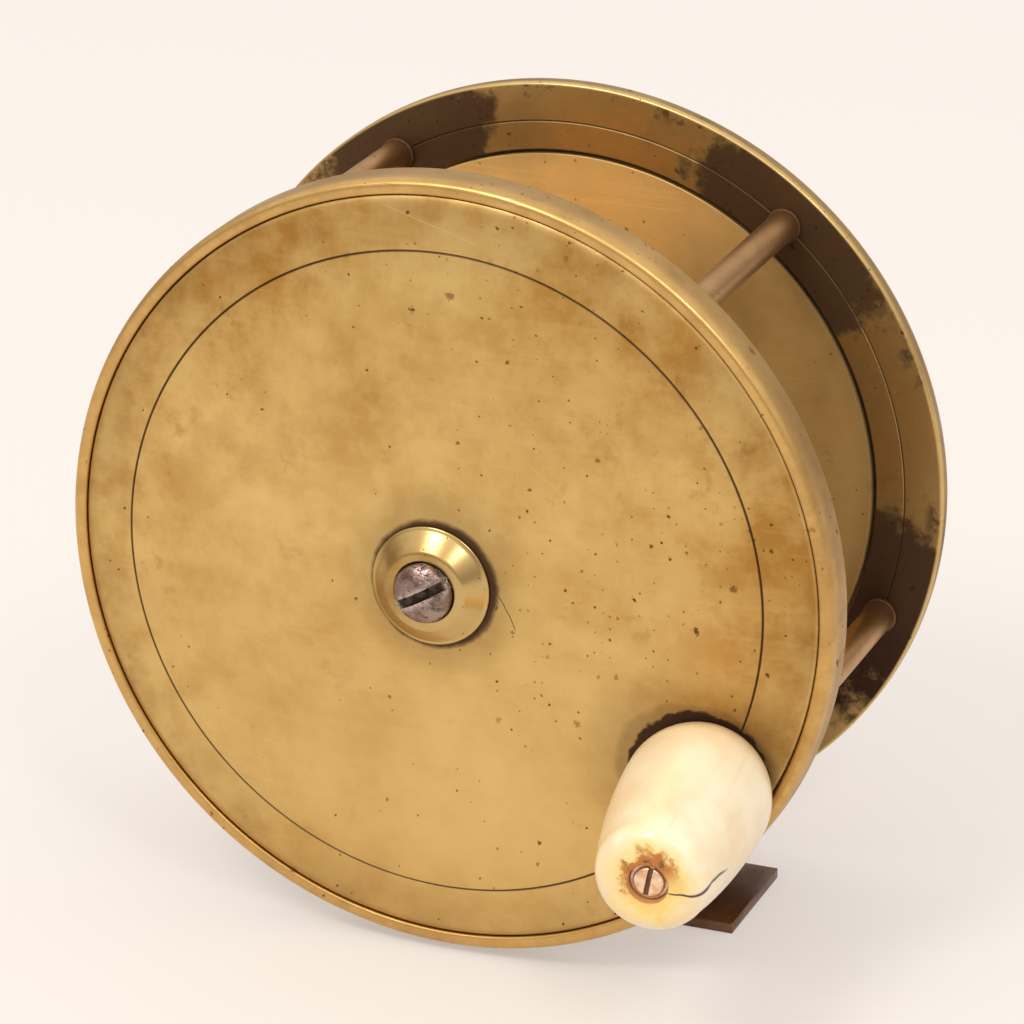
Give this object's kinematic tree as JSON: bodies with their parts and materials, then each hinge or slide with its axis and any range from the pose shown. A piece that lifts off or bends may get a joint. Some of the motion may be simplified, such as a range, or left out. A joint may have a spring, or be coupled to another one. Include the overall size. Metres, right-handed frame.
{
  "type": "fly reel",
  "caption": "Plate-wind fly reel: dished winding plate with a turned grip, narrow drum between two pillared plates, click check and rod foot.",
  "frame": {"origin": "middle of the flat underside of the foot, where it rests on a rod's reel seat", "axes": "+Z from the foot up through the spool axis, +Y along the spool axis from the handle side to the check side, +X to the right of the handle side, along the foot"},
  "size_m": [0.1016, 0.0831, 0.1026],
  "materials": {
    "aged_brass": "dull old brass with a soft brown patina",
    "polished_brass": "brighter rubbed brass",
    "dark_brass": "brown toned brass",
    "old_steel": "pitted greyish steel",
    "spring_steel": "blued spring steel",
    "old_ivory": "polished cream bone, stained near its screw",
    "copper_screw": "coppery worn screw"
  },
  "bodies": {
    "frame": {"front_plate": "aged_brass", "back_plate": "aged_brass", "pillar_1": "dark_brass", "pillar_2": "dark_brass", "pillar_3": "dark_brass", "pillar_4": "dark_brass", "pillar_screws": "old_steel", "bridge_screws": "old_steel", "foot_bridge": "dark_brass", "foot_plate": "dark_brass", "foot_screws": "old_steel", "front_bush": "polished_brass", "rear_bush": "polished_brass", "check_housing": "aged_brass", "check_cover": "aged_brass", "check_cover_screws": "old_steel", "pawl_post": "old_steel", "check_spring": "spring_steel", "spring_screw": "old_steel"},
    "drum": {"drum_spindle": "old_steel", "drum_core": "aged_brass", "drum_front_flange": "aged_brass", "drum_rear_flange": "aged_brass", "winding_plate": "aged_brass", "spindle_boss": "polished_brass", "boss_screw": "old_steel", "ratchet_wheel": "old_steel", "ratchet_pin": "old_steel", "handle_pin": "old_steel", "handle_washer": "copper_screw", "handle_screw": "copper_screw"},
    "grip": {"handle_grip": "old_ivory"},
    "pawl": {"check_pawl": "old_steel"}
  },
  "joints": [
    {"name": "drum_spin", "type": "hinge", "parent": "frame", "child": "drum", "pos_m": [0, -0.0028, 0.0518], "axis": [0, -1, 0], "continuous": true},
    {"name": "grip_spin", "type": "hinge", "parent": "drum", "child": "grip", "pos_m": [0.03531, -0.02843, 0.03058], "axis": [0.0896, -0.9945, -0.0538], "continuous": true},
    {"name": "pawl_rock", "type": "hinge", "parent": "frame", "child": "pawl", "pos_m": [-0.009, 0.0218, 0.0614], "axis": [0, -1, 0], "range_deg": [0, 10], "stiffness_Nm_per_rad": 0.002, "springref_deg": -11.46}
  ]
}
